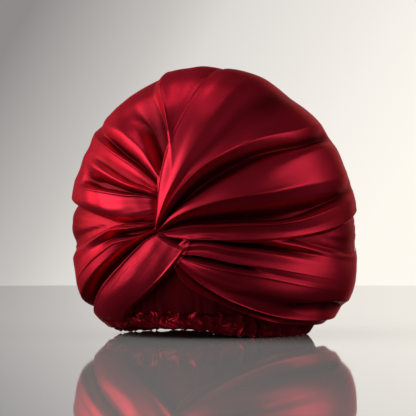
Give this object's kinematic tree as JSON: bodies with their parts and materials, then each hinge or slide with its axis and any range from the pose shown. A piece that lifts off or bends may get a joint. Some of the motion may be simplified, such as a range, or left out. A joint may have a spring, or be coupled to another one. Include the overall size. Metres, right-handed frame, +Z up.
{
  "type": "sleep bonnet",
  "caption": "Satin turban sleep bonnet with a twisted front, pleated drapes fanning from the twist, and a gathered elastic hem.",
  "frame": {"origin": "centre of the bounding box in plan, on the surface that the hem rests on", "axes": "+Z up through the crown, -Y out of the twisted front, +X to the side of the longer sweep, which is the right of a viewer facing the front"},
  "size_m": [0.2623, 0.2782, 0.246],
  "materials": {
    "crown_satin": "deep red satin, in the shade of the drapes",
    "hem_satin": "deep red satin bunched over elastic",
    "drape_satin": "deep red satin with a soft gloss"
  },
  "bodies": {
    "root": {"crown": "crown_satin", "elastic_hem": "hem_satin", "upper_left_drape": "drape_satin", "upper_right_drape": "drape_satin", "lower_left_drape": "drape_satin", "lower_right_drape": "drape_satin"}
  },
  "joints": []
}
